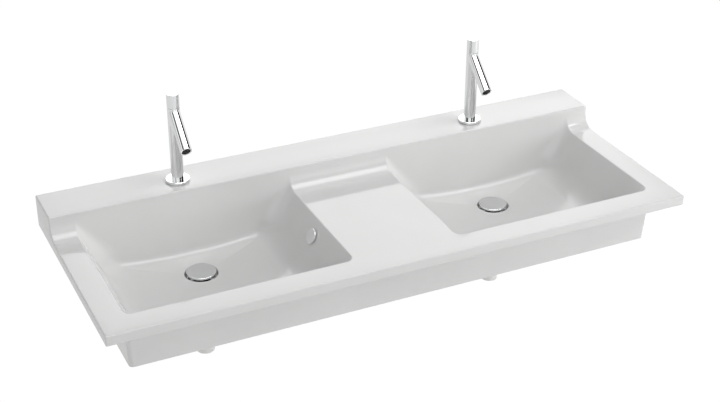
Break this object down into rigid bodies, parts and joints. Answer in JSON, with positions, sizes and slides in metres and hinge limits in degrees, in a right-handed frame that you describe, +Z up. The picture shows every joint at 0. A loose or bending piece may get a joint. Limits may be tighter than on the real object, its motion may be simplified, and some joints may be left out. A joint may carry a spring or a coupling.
{
  "type": "double washbasin with taps",
  "caption": "Wide white ceramic vanity washbasin with rectangular bowls side by side, a raised tap deck, slim chrome pillar taps and push wastes.",
  "frame": {"origin": "middle of the back, on the wall plane, level with the top of the rim", "axes": "+X along the wall to the right seen from the front, +Y into the wall, +Z up"},
  "size_m": [1.3, 0.5, 0.5618],
  "materials": {
    "ceramic": "glossy white glaze",
    "chrome": "polished",
    "brass": "machined",
    "steel": "turned",
    "rubber": "matt",
    "dark_plastic": "moulded",
    "white_plastic": "moulded"
  },
  "bodies": {
    "washbasin": {"basin": "ceramic", "tap_body_left": "chrome", "tap_body_right": "chrome", "tap_rosette_left": "chrome", "tap_rosette_right": "chrome", "tap_aerator_left": "chrome", "tap_aerator_right": "chrome", "waste_body_left": "chrome", "waste_body_right": "chrome", "overflow_cap_left": "chrome", "overflow_cap_right": "chrome", "tap_headwork_left": "brass", "tap_headwork_right": "brass", "tap_headwork_nut_left": "brass", "tap_headwork_nut_right": "brass", "tap_tail_left": "brass", "tap_tail_right": "brass", "tap_back_nut_left": "brass", "tap_back_nut_right": "brass", "waste_lock_nut_left": "brass", "waste_lock_nut_right": "brass", "tap_fixing_washer_left": "steel", "tap_fixing_washer_right": "steel", "tap_gasket_left": "rubber", "tap_gasket_right": "rubber", "tap_fixing_gasket_left": "rubber", "tap_fixing_gasket_right": "rubber", "waste_top_seal_left": "rubber", "waste_top_seal_right": "rubber", "waste_under_seal_left": "rubber", "waste_under_seal_right": "rubber", "tap_aerator_insert_left": "dark_plastic", "tap_aerator_insert_right": "dark_plastic", "waste_click_unit_left": "dark_plastic", "waste_click_unit_right": "dark_plastic", "waste_tail_nut_left": "white_plastic", "waste_tail_nut_right": "white_plastic", "waste_tail_pipe_left": "white_plastic", "waste_tail_pipe_right": "white_plastic", "overflow_sleeve_left": "white_plastic", "overflow_sleeve_right": "white_plastic"},
    "knob_left": {"tap_spindle_left": "brass", "tap_knob_left": "chrome", "tap_knob_screw_left": "steel"},
    "plug_left": {"plug_cap_left": "chrome", "plug_seal_left": "rubber", "plug_stem_left": "steel"},
    "knob_right": {"tap_spindle_right": "brass", "tap_knob_right": "chrome", "tap_knob_screw_right": "steel"},
    "plug_right": {"plug_cap_right": "chrome", "plug_seal_right": "rubber", "plug_stem_right": "steel"}
  },
  "joints": [
    {"name": "knob_turn_left", "type": "hinge", "parent": "washbasin", "child": "knob_left", "pos_m": [-0.3565, -0.061, 0.2345], "axis": [0, 0, 1], "range_deg": [0, 90]},
    {"name": "plug_travel_left", "type": "slide", "parent": "washbasin", "child": "plug_left", "axis": [0, 0, 1], "range_m": [-0.008, 0]},
    {"name": "knob_turn_right", "type": "hinge", "parent": "washbasin", "child": "knob_right", "pos_m": [0.3565, -0.061, 0.2345], "axis": [0, 0, 1], "range_deg": [0, 90]},
    {"name": "plug_travel_right", "type": "slide", "parent": "washbasin", "child": "plug_right", "axis": [0, 0, 1], "range_m": [-0.008, 0]}
  ]
}
